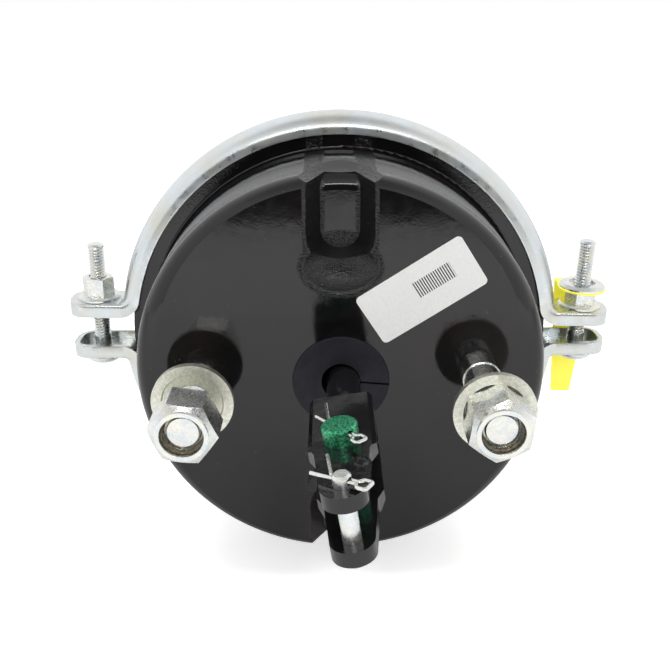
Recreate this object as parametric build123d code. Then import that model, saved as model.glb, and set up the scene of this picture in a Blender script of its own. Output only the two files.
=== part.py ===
from build123d import *
import os
from math import atan2, cos, degrees, radians, sin, sqrt, tan

# Air brake chamber with two pressed housings held by a clamp ring.
# Millimetres. The push rod lies along Y and leaves the chamber towards -Y, the
# studs stand side by side along X, +Z is up. The origin is the centre of the
# mounting face, midway between the studs, on the chamber's axis. The rod hangs
# ROD_X to the right of it in its loose seal.

# ---- clamp ring and housings ------------------------------------------------
RING_D = 206.4            # outside diameter of the clamp ring
RING_WIDTH = 22.0         # across the two lips
RING_LIP = 7.2            # radial depth of a flank, crown to lip
RING_SHEET = 2.6          # ring sheet
RING_SHOULDER = 4.6       # crown to flank, outside
FLANK_ANGLE = 22.6        # each flank leans this far from square to the axis
CLAMP_Y = 59.4            # clamp plane behind the mounting face
CLAMP_GAP = 0.05          # ring flank to housing flange
WALL = 2.6                # housing sheet
WALL_TO_LIP = 6.8         # ring lip out from the housing wall
WALL_TAPER = 1.2          # each wall narrows this much to its end
FRONT_ROUND = 8.5         # front corner of the non-pressure housing
FLARE_ROUND = 1.5         # wall to flange, outside
REAR_DEPTH = 53.0         # pressure housing behind the clamp plane
REAR_ROUND = 16.0         # its rear corner
PAD_HALF = 30.0           # half height of the flat mounting band
PAD_LEAN_ANGLE = 1.2      # the face leans back this much beyond the band

# ---- pressed channels above and below the mounting band ----------------------
CHANNEL_HALF = 14.6       # half width at the face
CHANNEL_DEPTH = 12.0
CHANNEL_DRAFT_ANGLE = 28.0
CHANNEL_START = 63.7      # centre of the channel's rounded inner end, from the rod
CHANNEL_ROUND = 7.0       # floor to side wall
CHANNEL_RIM = 2.0         # face to channel and bowl walls
BOWL_Z = 50.3             # centre of the bowl that leads into the channel
BOWL_HALF_H = 10.85
BOWL_HALF_W = 16.2
BOWL_DEPTH = 6.5
FLUTE_R = 60.0            # the channel fades out on the side wall as a wide flute
FLUTE_DEPTH = 5.5         # this deep at the face
FLUTE_RUN = 30.0          # and gone this far back

# ---- studs, washers and nuts -------------------------------------------------
STUD_SPACING = 120.65
STUD_R = 7.9375           # 5/8 in
STUD_OUT = 44.45          # stands out of the mounting face
STUD_PLAIN = 16.5         # full-size stretch next to the face
THREAD_RELIEF = 0.14      # threaded stretch is this much smaller in radius
STUD_SEAT = 0.45          # and the stretch in the housing this much larger
STUD_CHAMFER = 1.9
STUD_HEAD_R = 12.5
STUD_HEAD = 5.0
STUD_HOLE_GAP = 0.12
PLATE_SHEET = 3.2         # reinforcing plate inside the face
PLATE_R = 37.0
PLATE_CLEAR = 0.7         # its ears to the foot of the housing's corner
WASHER_R = 16.7
WASHER_T = 2.8
WASHER_RIM = 4.0          # flat rim, then the dish
WASHER_DISH = 1.0
WASHER_GAP = 0.15
LEFT_WASHER_Y = 17.6      # back of the left washer, in front of the face
NUT_AF = 23.8
NUT_H = 17.5
NUT_PROUD = 3.9           # nut front ahead of the stud end
NUT_COLLAR_R = 10.2
NUT_COLLAR = 1.4
NUT_BORE_R = 8.45
NUT_GAP = 0.15
NUT_LEFT_ANGLE = -7.5
NUT_RIGHT_ANGLE = 24.0

# ---- clamp lugs and bolts ----------------------------------------------------
BOLT_OUT = 13.0           # bolt out from the ring's crown
LUG_OFFSET = 2.1          # the gap between the lugs lies above the axis
CLAMP_TURN_ANGLE = 1.45   # upper half, drawn down further on the right
LUG_GAP = 11.8
LUG_H = 6.9
LUG_OUT = 12.8            # lug end out from the bolt
LUG_ROUND = 8.0
LUG_BEND = 3.2            # ring crown to lug
LIP_CORNER = 8.0          # ring lip to lug
BOLT_R = 3.97             # 5/16 in
BOLT_TOP = 44.2
BOLT_HEAD_R = 9.0
BOLT_HEAD = 5.0
BOLT_NECK = 8.2           # square neck
BOLT_FIT = 0.15
CLAMP_NUT_AF = 12.9
CLAMP_NUT_H = 10.6
TAG_NUT_H = 8.6           # lower nut under the tag
CLAMP_FLANGE_R = 10.1
CLAMP_FLANGE = 1.8
TAG_T = 0.8
TAG_TOP_W = 22.4
TAG_FOLD_W = 20.0
TAG_END_W = 9.5
TAG_DROP = 40.4           # lower end below the axis
TAG_BACK = 1.4            # behind the ring's rear lip
PUSH_NUT_R = 10.85
PUSH_NUT_T = 2.2

# ---- rod, plate, spring, diaphragm -------------------------------------------
ROD_R = 7.14              # 9/16 in
ROD_X = 1.05              # the rod rests to the right in its loose seal
SEAL_R = 20.5
SEAL_PROUD = 0.9
SEAL_GAP = 0.15
SEAL_FLANGE_R = 26.0
SEAL_FLANGE = 3.0
SEAL_BORE_R = 8.3
SEAL_SPLIT = 0.9
PLUNGER_R = 70.0          # push plate
PLUNGER_SHEET = 2.6
PLUNGER_RIM = 7.0
DIAPHRAGM_T = 3.0
DIAPHRAGM_GAP = 0.3
SPRING_WIRE = 2.4         # wire radius
SPRING_SMALL = 33.0       # mean radius at the face
SPRING_LARGE = 56.0       # mean radius at the push plate
SPRING_TURNS = 4.5

# ---- clevis and pins (before the clevis is turned about the rod) --------------
CLEVIS_ROLL_ANGLE = 8.6
CLEVIS_NECK_Y = 30.0
CLEVIS_NECK_R = 10.4
CLEVIS_BACK_Y = 39.5
CLEVIS_WEB = 9.0
CLEVIS_HALF_H = 12.9
CLEVIS_ARM = 5.6
CLEVIS_HALF_W = 11.8
CLEVIS_STEP_Y = 76.0      # where the sides step in
CLEVIS_STEP = 2.4
CLEVIS_STEP_RUN = 5.0
CLEVIS_TIP_R = 7.6
CLEVIS_EDGE = 1.6
LARGE_PIN_Y = 72.8
PIN_PITCH = 29.0
LARGE_PIN_R = 6.35
SMALL_PIN_R = 3.175
PIN_FIT = 0.06
LARGE_PIN_PROUD = 6.1
SMALL_PIN_PROUD = 4.2
LARGE_HEAD_R = 9.0
SMALL_HEAD_R = 5.2
PIN_HEAD = 2.6
PIN_CHAMFER = 0.8
LARGE_COTTER_WIRE = 0.6   # wire radius
SMALL_COTTER_WIRE = 0.65
LARGE_COTTER_UP = 4.2     # above the arm
SMALL_COTTER_UP = 2.1
LARGE_COTTER_LEG = 13.7   # pin centre to the end of the straight leg
SMALL_COTTER_LEG = 11.8
LARGE_COTTER_BENT = 20.0  # and to the end of the bent one
SMALL_COTTER_BENT = 16.3
LARGE_SPLAY_ANGLE = 20.5
SMALL_SPLAY_ANGLE = 38.0
LARGE_TURN_ANGLE = 56.0   # legs turned towards +Y from -X
SMALL_TURN_ANGLE = 36.0
COTTER_FIT = 0.08

# ---- air ports ---------------------------------------------------------------
PORT_RADIUS = 46.0        # port centres from the axis
PORT_ANGLE = 45.0         # either side of the top
PORT_BORE_R = 7.45        # 3/8-18 NPT tapping size
PORT_BOSS_R = 13.5
PORT_BOSS = 11.0
PORT_SEAT = 0.4           # boss is welded this deep into the housing
PLUG_FIT = 0.05
PLUG_HEAD = 9.5
PLUG_HEAD_H = 6.0
VENT_R = 4.5
VENT_Y = 30.0

# ---- label -------------------------------------------------------------------
LABEL_W = 50.0
LABEL_H = 23.5
LABEL_T = 0.25
LABEL_X = 33.0
LABEL_Z = 40.4
LABEL_TURN_ANGLE = 32.8

CROWN_R = RING_D / 2
LIP_R = CROWN_R - RING_LIP
LEAN = tan(radians(FLANK_ANGLE))
SEC = 1 / cos(radians(FLANK_ANGLE))
WALL_FLARE_R = LIP_R - WALL_TO_LIP
FACE_CORNER_R = WALL_FLARE_R - WALL_TAPER
FLUTE_FLOOR = FACE_CORNER_R - FLUTE_DEPTH
FLANGE_R = CROWN_R - RING_SHOULDER
STUD_X = STUD_SPACING / 2
PLATE_EAR = FACE_CORNER_R - FRONT_ROUND - PLATE_CLEAR - STUD_X
BOLT_X = CROWN_R + BOLT_OUT
LUG_END = BOLT_X + LUG_OUT
UPPER_LUG = LUG_GAP / 2 + LUG_OFFSET
LOWER_LUG = LUG_GAP / 2 - LUG_OFFSET
LUG_TOP = UPPER_LUG + LUG_H
LUG_UNDER = -LOWER_LUG - LUG_H
REAR_Y = CLAMP_Y + REAR_DEPTH
PORT_X = PORT_RADIUS * sin(radians(PORT_ANGLE))
PORT_Z = PORT_RADIUS * cos(radians(PORT_ANGLE))
PLUNGER_Y = REAR_Y - WALL - 2 * DIAPHRAGM_GAP - DIAPHRAGM_T
SMALL_PIN_Y = LARGE_PIN_Y + PIN_PITCH


def flank(r):
    """Outer face of the ring's flank: distance from the clamp plane at radius r."""
    return RING_WIDTH / 2 - LEAN * (r - LIP_R)


def flange(r):
    """Outer face of a housing flange where it lies inside the ring's flank."""
    return flank(r) - (RING_SHEET + CLAMP_GAP) * SEC


def flange_bend(inset):
    """Where a housing flange, square to the rod at the wall, starts to lean:
    (radius, distance from the clamp plane) for a face that lies inset below the
    outside of the sheet."""
    return LIP_R - inset * (SEC - 1) / LEAN, flange(LIP_R) - inset


def turned(points, rounds=()):
    """Revolve a closed outline of (radius, y) about the axis. rounds holds
    (corner, radius) pairs to round before it is turned."""
    outline = Polygon(*points, align=None)
    for corner, radius in rounds:
        nearest = outline.vertices().sort_by_distance((corner[0], corner[1], 0))[0]
        outline = fillet(nearest, radius)
    return revolve(outline, Axis.Y)


def bored(solid, radius, y_from, y_to, x=0.0, z=0.0):
    """Cut a round hole along Y."""
    return solid - rod(radius, y_from, y_to, x, z)


def rod(radius, y_from, y_to, x=0.0, z=0.0):
    """Cylinder along Y between two y values."""
    low, high = min(y_from, y_to), max(y_from, y_to)
    centre = Pos(x, (low + high) / 2, z) * Rot(90, 0, 0)
    return centre * Cylinder(radius, high - low)


def post(radius, z_from, z_to, x=0.0, y=0.0):
    """Cylinder along Z between two z values."""
    low, high = min(z_from, z_to), max(z_from, z_to)
    return Pos(x, y, (low + high) / 2) * Cylinder(radius, high - low)


def block(x0, x1, y0, y1, z0, z1):
    return Pos((x0 + x1) / 2, (y0 + y1) / 2, (z0 + z1) / 2) * Box(x1 - x0, y1 - y0, z1 - z0)


# ---- housings ----------------------------------------------------------------
def cup(side, depth, front_r, corner, inset):
    """Filled form of a housing, from the clamp plane to its end. side is -1 for
    the front housing and +1 for the rear one; inset 0 gives the outside of the
    sheet and WALL the inside."""
    reach = FLANGE_R if inset == 0 else CROWN_R + 2
    edge = -1.0 if inset else 0.0
    bend = flange_bend(inset)
    points = [
        (0, edge),
        (reach, edge),
        (reach, flange(reach) - inset * SEC),
        bend,
        (WALL_FLARE_R - inset, bend[1]),
        (front_r - inset, depth - inset),
        (0, depth - inset),
    ]
    placed = [(r, CLAMP_Y + side * s) for r, s in points]
    return turned(placed, [(placed[4], FLARE_ROUND + inset), (placed[5], corner - inset)])


def trough(inset):
    """Drafted slot from its rounded inner end out over the corner, less what the
    press leaves there. It starts WALL ahead of the face."""
    lean = radians(CHANNEL_DRAFT_ANGLE)
    half = CHANNEL_HALF + inset / cos(lean) + WALL * tan(lean)
    outline = Rectangle(2 * half, FLUTE_R, align=(Align.CENTER, Align.MIN)) + Circle(half)
    facing = Plane(origin=(0, -WALL, CHANNEL_START), x_dir=(-1, 0, 0), z_dir=(0, 1, 0))
    reach = WALL + CHANNEL_DEPTH + CHANNEL_ROUND / 2
    slot = extrude(facing * outline, reach, taper=CHANNEL_DRAFT_ANGLE)
    return slot - channel_floor(inset, CHANNEL_DEPTH + inset)


def channel_floor(inset, depth):
    """What the press leaves: the floor, the round to the side wall and the wall."""
    outside = FACE_CORNER_R + CHANNEL_HALF
    foot = (floor_radius(depth) - inset, depth)
    points = [(0, depth), foot, (floor_radius(FLUTE_RUN) - inset, FLUTE_RUN)]
    points += [(outside, FLUTE_RUN), (outside, CLAMP_Y), (0, CLAMP_Y)]
    return turned(points, [(foot, CHANNEL_ROUND - inset)])


def floor_radius(y):
    """Flute floor on the side wall, which comes out to the wall at FLUTE_RUN."""
    return FLUTE_FLOOR + (WALL_FLARE_R - FLUTE_FLOOR) * y / FLUTE_RUN


def arc_radius(half, depth):
    """Radius of an arc with this half chord and depth."""
    return (half**2 + depth**2) / (2 * depth)


def bowl(inset):
    """Dish at the inner end of the channel: an arc along X turned about a line
    ahead of the face."""
    ahead = arc_radius(BOWL_HALF_H, BOWL_DEPTH) - BOWL_DEPTH
    reach = ahead + BOWL_DEPTH + inset
    across = arc_radius(BOWL_HALF_W, BOWL_DEPTH) + inset
    arc = Pos(0, reach - across) * Circle(across)
    outline = arc & Rectangle(2 * across, reach, align=(Align.CENTER, Align.MIN))
    return Pos(0, -ahead, BOWL_Z) * revolve(outline, Axis.X)


def flute(inset):
    """Wide shallow groove that runs out along the side wall."""
    lean = degrees(atan2(WALL_FLARE_R - FLUTE_FLOOR, FLUTE_RUN))
    place = Pos(0, 0, FLUTE_FLOOR - inset) * Rot(lean, 0, 0) * Pos(0, 0, FLUTE_R)
    return place * rod(FLUTE_R, -FLUTE_RUN, FLUTE_RUN)


def front_form(inset):
    """Filled front housing less its two channels."""
    form = cup(-1, CLAMP_Y, FACE_CORNER_R, FRONT_ROUND, inset)
    for tool in (flute(inset), trough(inset), bowl(inset)):
        form = form - tool - mirror(tool, Plane.XY)
    return form


def face_lean():
    """Wedges that lean the face back above and below the flat band."""
    wedge = block(-CROWN_R, CROWN_R, -CROWN_R, 0, 0, CROWN_R)
    upper = Pos(0, 0, PAD_HALF) * Rot(-PAD_LEAN_ANGLE, 0, 0) * wedge
    return upper + mirror(upper, Plane.XY)


def outer_front():
    """Outside of the front housing, leaned back, with soft rims round the
    channels."""
    form = front_form(0) - face_lean()
    rims = []
    for edge in form.edges():
        at = edge.center()
        beyond = BOWL_Z - BOWL_HALF_H - 1 < abs(at.Z) < FACE_CORNER_R - FRONT_ROUND
        if beyond and at.Y < WALL / 2 and abs(at.X) < BOWL_HALF_W:
            rims.append(edge)
    return fillet(rims, CHANNEL_RIM)


def non_pressure_housing():
    """Front pressing: studs and seal in the flat band, vents low in the wall."""
    shell = OUTER_FRONT - front_form(WALL)
    shell = bored(shell, SEAL_R + SEAL_GAP, -WALL, 2 * WALL)
    for x in (-STUD_X, STUD_X):
        shell = bored(shell, STUD_R + STUD_SEAT + STUD_HOLE_GAP, -WALL, 2 * WALL, x)
    for turn in (135, -135):
        vent = post(VENT_R, FACE_CORNER_R - 4 * WALL, RING_D / 2, 0, VENT_Y)
        shell -= Rot(0, turn, 0) * vent
    return shell


def pressure_housing():
    """Rear pressing with two port holes in its end."""
    outside = cup(1, REAR_DEPTH, FACE_CORNER_R, REAR_ROUND, 0)
    shell = outside - cup(1, REAR_DEPTH, FACE_CORNER_R, REAR_ROUND, WALL)
    for x in (-PORT_X, PORT_X):
        shell = bored(shell, PORT_BORE_R, REAR_Y - 2 * WALL, REAR_Y + WALL, x, PORT_Z)
        shell = bored(shell, PORT_BOSS_R, REAR_Y - PORT_SEAT, REAR_Y + WALL, x, PORT_Z)
    return shell


def port_boss(x):
    """Turned boss welded over a port hole, with a rounded shoulder."""
    boss = rod(PORT_BOSS_R, REAR_Y - PORT_SEAT, REAR_Y + PORT_BOSS, x, PORT_Z)
    rim = boss.edges().sort_by(Axis.Y)[-1]
    boss = chamfer(rim, PORT_BOSS_R - PORT_BORE_R - 3)
    return bored(boss, PORT_BORE_R, REAR_Y - WALL, REAR_Y + 2 * PORT_BOSS, x, PORT_Z)


def port_plug():
    """Square-headed plug screwed into the left port."""
    top = REAR_Y + PORT_BOSS
    plug = rod(PORT_BORE_R - PLUG_FIT, REAR_Y - PORT_SEAT, top, -PORT_X, PORT_Z)
    head = block(-PLUG_HEAD / 2, PLUG_HEAD / 2, top, top + PLUG_HEAD_H, -PLUG_HEAD / 2, PLUG_HEAD / 2)
    head = chamfer(head.edges().group_by(Axis.Y)[-1], PIN_CHAMFER)
    return plug + Pos(-PORT_X, 0, PORT_Z) * head


# ---- clamp ring ---------------------------------------------------------------
def ring_section(points, shoulder):
    """Turn one half of a ring outline, from mouth to crown, with its mirror image."""
    mirrored = [(r, -side) for r, side in reversed(points)]
    placed = [(r, CLAMP_Y + side) for r, side in points + mirrored]
    crown = len(points) - 1
    return turned(placed, [(placed[crown], shoulder), (placed[crown + 1], shoulder)])


def ring_solid():
    """Whole section of the ring."""
    return ring_section([(LIP_R, flank(LIP_R)), (CROWN_R, flank(CROWN_R))], RING_SHOULDER)


def ring_room():
    """Room inside the ring's sheet, filled to the axis."""
    crown = CROWN_R - RING_SHEET
    lean = RING_SHEET * SEC
    return ring_section([(0, flank(0) - lean), (crown, flank(crown) - lean)], RING_SHOULDER - RING_SHEET)


def lug_form(side, lug, inset):
    """Lug as a solid block with rounded corners, its mouth this far above the rod
    axis; inset gives its inside."""
    half = RING_WIDTH / 2 - inset
    x0, x1 = LIP_R + inset, LUG_END - inset
    form = block(x0, x1, CLAMP_Y - half, CLAMP_Y + half, lug - inset, lug - inset + LUG_H)
    corners = form.edges().filter_by(Axis.Z).group_by(Axis.X)[-1]
    form = fillet(corners, LUG_ROUND - inset)
    if inset == 0:
        form = fillet(form.faces().sort_by(Axis.Z)[-1].edges(), RING_SHEET / 2)
    return form if side > 0 else mirror(form, Plane.YZ)


def lug_bends(lug):
    """Webs that carry the crown round into the two lugs."""
    width = 2 * (LUG_END - LUG_ROUND)
    lugs = Pos(0, lug) * Rectangle(width, LUG_H, align=(Align.CENTER, Align.MIN))
    plain = Circle(CROWN_R) + lugs
    corners = [v for v in plain.vertices() if abs(v.Y - lug - LUG_H) < 0.01 and abs(v.X) < CROWN_R]
    webs = fillet(corners, LUG_BEND) - plain
    facing = Plane(origin=(0, CLAMP_Y, 0), x_dir=(1, 0, 0), z_dir=(0, -1, 0))
    return extrude(facing * webs, flank(CROWN_R), both=True)


def lip_corner(side, lug):
    """What is cut away so that the ring's lip curves out into the lug's mouth."""
    middle_z = lug + LIP_CORNER
    lip_x = sqrt(LIP_R**2 - middle_z**2)
    front, back = CLAMP_Y - RING_WIDTH, CLAMP_Y + RING_WIDTH
    corner = block(lip_x - LIP_CORNER, lip_x + LIP_CORNER, front, back, 0, middle_z)
    corner -= rod(LIP_CORNER, front, back, lip_x + LIP_CORNER, middle_z)
    return corner if side > 0 else mirror(corner, Plane.YZ)


def clamp_half(lug):
    """Half of the ring above the axis: a V-section band with a pressed lug at
    each end."""
    half = ring_solid() & block(-RING_D, RING_D, 0, 2 * CLAMP_Y, lug, RING_D)
    half += lug_bends(lug)
    for side in (-1, 1):
        half += lug_form(side, lug, 0)
    for side in (-1, 1):
        half -= lug_form(side, lug, RING_SHEET) + lip_corner(side, lug)
    return half - ring_room()


def clamp_ring_upper():
    """Upper half, turned on the housings, with round bolt holes."""
    half = Rot(0, CLAMP_TURN_ANGLE, 0) * clamp_half(UPPER_LUG)
    for x in (-BOLT_X, BOLT_X):
        half -= bolt_place(x) * post(BOLT_R + BOLT_FIT, 0, RING_D)
    return half


def clamp_ring_lower():
    """Lower half, turned over, with square bolt holes."""
    half = mirror(clamp_half(LOWER_LUG), Plane.XY)
    side = BOLT_NECK / 2 + BOLT_FIT
    for x in (-BOLT_X, BOLT_X):
        half -= block(x - side, x + side, CLAMP_Y - side, CLAMP_Y + side, -CROWN_R, 0)
    return half


# ---- clamp bolts ---------------------------------------------------------------
def bolt_place(x):
    """Foot of a clamp bolt under the lower lug. The bolt leans with the upper half."""
    return Pos(x, CLAMP_Y, LUG_UNDER) * Rot(0, CLAMP_TURN_ANGLE, 0)


def lug_seat(x):
    """Height of the upper lug's top along the bolt, above the bolt's foot."""
    turn = radians(CLAMP_TURN_ANGLE)
    return LUG_TOP - LUG_UNDER * cos(turn) - x * sin(turn)


def clamp_bolt(x):
    """Round-headed bolt with a square neck, put in from below."""
    sunk = -BOLT_HEAD_R * sin(radians(CLAMP_TURN_ANGLE))
    bolt = post(BOLT_R, sunk, BOLT_TOP - LUG_UNDER)
    bolt = chamfer(bolt.edges().sort_by(Axis.Z)[-1], PIN_CHAMFER)
    half = BOLT_NECK / 2
    neck = block(-half, half, -half, half, sunk, LUG_H)
    head = post(BOLT_HEAD_R, sunk - BOLT_HEAD, sunk)
    head = fillet(head.edges().sort_by(Axis.Z)[0], BOLT_HEAD * 0.8)
    return bolt_place(x) * (bolt + neck + head)


def clamp_nut(x, height):
    """Flanged hex nut on the upper lug."""
    rim = post(CLAMP_FLANGE_R, 0, CLAMP_FLANGE)
    rim = chamfer(rim.edges().sort_by(Axis.Z)[-1], CLAMP_FLANGE / 2)
    inner = CLAMP_NUT_AF / 2
    hexagon = extrude(RegularPolygon(inner, 6, major_radius=False), height)
    crown = Cone(inner + 2 * height, inner - 0.3, height, align=(Align.CENTER, Align.CENTER, Align.MIN))
    nut = (hexagon & crown) + rim - post(BOLT_R + WASHER_GAP, -height, 2 * height)
    return bolt_place(x) * Pos(0, 0, lug_seat(x)) * nut


def tag_push_nut():
    """Toothed retaining disc pushed over the right bolt onto the tag."""
    low = lug_seat(BOLT_X) + TAG_NUT_H + TAG_T
    disc = post(PUSH_NUT_R, low, low + PUSH_NUT_T)
    disc = chamfer(disc.edges().sort_by(Axis.Z)[-1], PUSH_NUT_T * 0.6)
    dish = post(BOLT_R + 2.2, low + PUSH_NUT_T * 0.5, low + 2 * PUSH_NUT_T)
    return bolt_place(BOLT_X) * (disc - dish - post(BOLT_R + WASHER_GAP, 0, BOLT_TOP))


def stroke_tag():
    """Thin tag held on the bolt, folded down behind the ring."""
    low = lug_seat(BOLT_X) + TAG_NUT_H
    back = RING_WIDTH / 2 + TAG_BACK
    top, end = TAG_FOLD_W / 2, TAG_END_W / 2
    tab = post(TAG_TOP_W / 2, low, low + TAG_T) + block(-top, top, 0, back + TAG_T, low, low + TAG_T)
    drop = low + TAG_T + LUG_UNDER + TAG_DROP
    outline = Polygon((-top, 0), (-end, -drop), (end, -drop), (top, 0), align=None)
    facing = Plane(origin=(0, back, low + TAG_T), x_dir=(1, 0, 0), z_dir=(0, -1, 0))
    tag = tab + extrude(facing * outline, TAG_T, dir=(0, 1, 0))
    return bolt_place(BOLT_X) * (tag - post(BOLT_R + WASHER_GAP, 0, BOLT_TOP))


# ---- mounting studs --------------------------------------------------------------
def mounting_stud(x):
    """Stud pressed through the plate and face, headed inside."""
    seat = WALL + PLATE_SHEET
    stud = rod(STUD_R, -STUD_PLAIN, 0, x) + rod(STUD_R + STUD_SEAT, 0, seat, x)
    thread = rod(STUD_R - THREAD_RELIEF, -STUD_OUT, -STUD_PLAIN, x)
    thread = chamfer(thread.edges().sort_by(Axis.Y)[0], STUD_CHAMFER)
    head = rod(STUD_HEAD_R, seat, seat + STUD_HEAD, x)
    head = chamfer(head.edges().sort_by(Axis.Y)[-1], STUD_HEAD / 3)
    return stud + thread + head


def mounting_washer(x, back):
    """Hardened washer with a flat rim and a shallow dish."""
    r = STUD_R - THREAD_RELIEF + WASHER_GAP
    rim = WASHER_R - WASHER_RIM
    points = [(r, -back), (WASHER_R, -back), (WASHER_R, -back - WASHER_T),
              (rim, -back - WASHER_T), (rim - 0.6, -back - WASHER_T + WASHER_DISH),
              (r, -back - WASHER_T + WASHER_DISH)]
    return Pos(x, 0, 0) * turned(points)


def mounting_nut(x, turn):
    """Tall hex nut with a collar round its mouth and a threaded bore behind it."""
    front = -STUD_OUT - NUT_PROUD
    body_front = front + NUT_COLLAR
    corner = NUT_AF / 2 / cos(radians(30))
    drop = (corner - NUT_COLLAR_R) * tan(radians(25))
    limit = turned([(0, front), (NUT_COLLAR_R, front), (NUT_COLLAR_R, body_front),
                    (corner, body_front + drop), (corner, front + NUT_H), (0, front + NUT_H)])
    facing = Plane(origin=(0, front + NUT_H, 0), x_dir=(1, 0, 0), z_dir=(0, -1, 0))
    hexagon = extrude(facing * RegularPolygon(NUT_AF / 2, 6, major_radius=False, rotation=turn), NUT_H)
    nut = hexagon & limit
    nut = bored(nut, NUT_BORE_R, front - 1, -STUD_OUT - 0.1)
    nut = bored(nut, STUD_R - THREAD_RELIEF + NUT_GAP, -STUD_OUT - 0.1, front + 2 * NUT_H)
    return Pos(x, 0, 0) * nut


def stud_plate():
    """Reinforcing plate inside the face, with an ear round each stud."""
    outline = Circle(PLATE_R)
    outline += Rectangle(STUD_SPACING, 2 * PLATE_EAR)
    for x in (-STUD_X, STUD_X):
        outline += Pos(x, 0) * Circle(PLATE_EAR)
    outline -= Circle(SEAL_FLANGE_R + SEAL_GAP)
    for x in (-STUD_X, STUD_X):
        outline -= Pos(x, 0) * Circle(STUD_R + STUD_SEAT + STUD_HOLE_GAP)
    facing = Plane(origin=(0, WALL, 0), x_dir=(-1, 0, 0), z_dir=(0, 1, 0))
    return extrude(facing * outline, PLATE_SHEET)


# ---- moving assembly ---------------------------------------------------------------
def rod_seal():
    """Split guide disc that fills the opening round the rod, flanged inside."""
    back = WALL + SEAL_GAP
    points = [(SEAL_BORE_R, -SEAL_PROUD), (SEAL_R, -SEAL_PROUD), (SEAL_R, back),
              (SEAL_FLANGE_R, back), (SEAL_FLANGE_R, back + SEAL_FLANGE),
              (SEAL_BORE_R, back + SEAL_FLANGE)]
    seal = turned(points, [((SEAL_R, -SEAL_PROUD), SEAL_PROUD / 2)])
    slit = block(ROD_R, SEAL_FLANGE_R + 1, -2 * SEAL_PROUD, 2 * back + SEAL_FLANGE, 0, SEAL_SPLIT)
    return seal - Rot(0, 5, 0) * slit


def push_rod():
    """Straight rod from the push plate to the clevis."""
    return rod(ROD_R, -CLEVIS_BACK_Y, PLUNGER_Y - PLUNGER_SHEET, ROD_X)


def push_plate():
    """Pressed plate with a rim turned towards the face and a welded collar."""
    s = PLUNGER_SHEET
    points = [(0, PLUNGER_Y), (0, PLUNGER_Y - s), (ROD_R, PLUNGER_Y - s),
              (ROD_R, PLUNGER_Y - 4 * s), (ROD_R + 2 * s, PLUNGER_Y - 4 * s),
              (ROD_R + 3 * s, PLUNGER_Y - s), (PLUNGER_R - s - 1, PLUNGER_Y - s),
              (PLUNGER_R - s, PLUNGER_Y - PLUNGER_RIM), (PLUNGER_R, PLUNGER_Y - PLUNGER_RIM),
              (PLUNGER_R, PLUNGER_Y)]
    return Pos(ROD_X, 0, 0) * turned(points, [((PLUNGER_R, PLUNGER_Y), s)])


def diaphragm():
    """Moulded cup: bead held between the flanges, wall and floor against the
    rear housing."""
    gap, t = DIAPHRAGM_GAP, DIAPHRAGM_T
    inset = WALL + CLAMP_GAP
    bend_r, bead = flange_bend(inset)
    tip = flange(FLANGE_R) - inset * SEC
    out = WALL_FLARE_R - WALL - gap
    end = FACE_CORNER_R - WALL - gap
    floor = REAR_DEPTH - WALL - gap
    points = [(out - t, -bead), (bend_r, -bead), (FLANGE_R, -tip), (FLANGE_R, tip), (bend_r, bead),
              (out, bead), (end, floor), (0, floor), (0, floor - t), (end - t, floor - t)]
    placed = [(r, CLAMP_Y + s) for r, s in points]
    corner = REAR_ROUND - WALL - gap
    return turned(placed, [(placed[5], FLARE_ROUND + WALL + gap), (placed[6], corner), (placed[9], corner - t)])


def return_spring():
    """Tapered coil between the stud plate and the push plate."""
    start = WALL + PLATE_SHEET + SPRING_WIRE + 0.1
    end = PLUNGER_Y - PLUNGER_SHEET - SPRING_WIRE - 0.1
    run = end - start
    widen = degrees(atan2(SPRING_LARGE - SPRING_SMALL, run))
    coil = Helix(run / SPRING_TURNS, run, SPRING_SMALL, cone_angle=widen)
    wire = sweep(Plane(origin=coil @ 0, z_dir=coil % 0) * Circle(SPRING_WIRE), coil)
    return Pos(0, start, 0) * Rot(-90, 0, 0) * wire


# ---- clevis --------------------------------------------------------------------------
def rolled(solid):
    """Turn about the rod to the clevis's own angle."""
    return Pos(ROD_X, 0, 0) * Rot(0, -CLEVIS_ROLL_ANGLE, 0) * solid


def clevis():
    """Forged fork: neck, web and two arms with stepped sides and round tips."""
    tip_y = SMALL_PIN_Y
    w, n = CLEVIS_HALF_W, CLEVIS_TIP_R
    step_y = CLEVIS_STEP_Y + CLEVIS_STEP_RUN
    plan = Polygon((-w, -CLEVIS_BACK_Y), (w, -CLEVIS_BACK_Y), (w, -CLEVIS_STEP_Y),
                   (w - CLEVIS_STEP, -step_y), (n, -tip_y), (-n, -tip_y),
                   (CLEVIS_STEP - w, -step_y), (-w, -CLEVIS_STEP_Y), align=None)
    plan += Pos(0, -tip_y) * Circle(n)
    body = extrude(plan, CLEVIS_HALF_H, dir=(0, 0, 1), both=True)
    body = chamfer(body.edges().filter_by(Axis.Y), CLEVIS_EDGE)
    gap = CLEVIS_HALF_H - CLEVIS_ARM
    slot_y = CLEVIS_BACK_Y + CLEVIS_WEB
    slot = block(-2 * w, 2 * w, -tip_y - 2 * n, -slot_y - gap, -gap, gap)
    slot += Pos(0, -slot_y - gap, 0) * Rot(0, 90, 0) * Cylinder(gap, 4 * w)
    neck = turned([(0, -CLEVIS_NECK_Y), (ROD_R + 1.4, -CLEVIS_NECK_Y), (CLEVIS_NECK_R, -CLEVIS_NECK_Y - 3),
                   (CLEVIS_NECK_R, -CLEVIS_BACK_Y - 1), (0, -CLEVIS_BACK_Y - 1)])
    body = body - slot + neck
    body -= post(LARGE_PIN_R + PIN_FIT, -2 * w, 2 * w, 0, -LARGE_PIN_Y)
    body -= post(SMALL_PIN_R + PIN_FIT, -2 * w, 2 * w, 0, -tip_y)
    return rolled(bored(body, ROD_R, -CLEVIS_BACK_Y, 0))


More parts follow.
